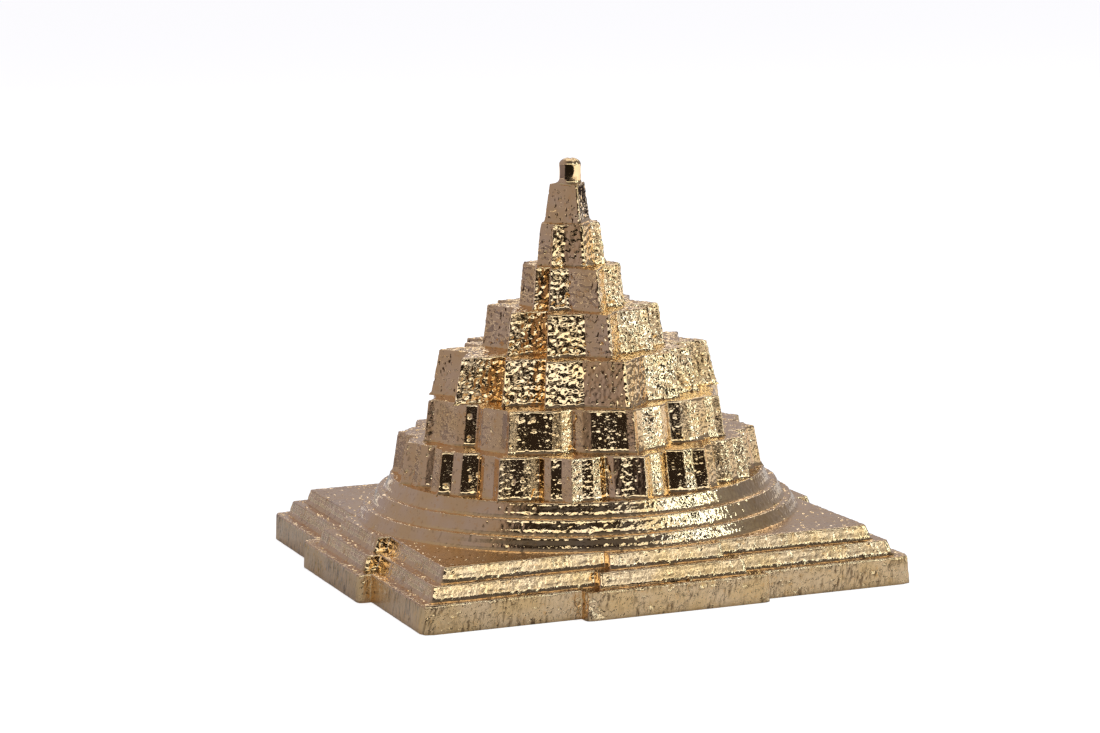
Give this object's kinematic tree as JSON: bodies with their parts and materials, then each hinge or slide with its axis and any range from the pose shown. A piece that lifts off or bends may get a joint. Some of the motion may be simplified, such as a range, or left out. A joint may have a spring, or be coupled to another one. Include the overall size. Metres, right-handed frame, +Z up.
{
  "type": "meru shri yantra",
  "caption": "Small gilt temple-mountain altar ornament: square gated steps, round girdles, two lotus rings, star-shaped tiers and a triangle, topped by a rounded point.",
  "frame": {"origin": "middle of the underside", "axes": "+Z up through the point; the front, with a petal tip, a star tip and the apex of the triangle, is -Y; +X to the right seen from the front"},
  "size_m": [0.0526, 0.0526, 0.0408],
  "materials": {
    "gilt_casting": "gold plate over a grainy casting",
    "polished_gilt": "polished gold plate",
    "plain_brass": "machined, unplated"
  },
  "bodies": {
    "root": {"base_lower_step": "gilt_casting", "base_middle_step": "gilt_casting", "base_upper_step": "gilt_casting", "girdle_lower": "gilt_casting", "girdle_middle": "gilt_casting", "girdle_upper": "gilt_casting", "sixteen_petal_tier": "gilt_casting", "eight_petal_tier": "gilt_casting", "fourteen_point_tier": "gilt_casting", "outer_ten_point_tier": "gilt_casting", "inner_ten_point_tier": "gilt_casting", "eight_point_tier": "gilt_casting", "central_triangle": "gilt_casting", "bindu_knob": "polished_gilt", "tie_rod": "plain_brass", "rod_washer": "plain_brass", "rod_nut": "plain_brass"}
  },
  "joints": []
}
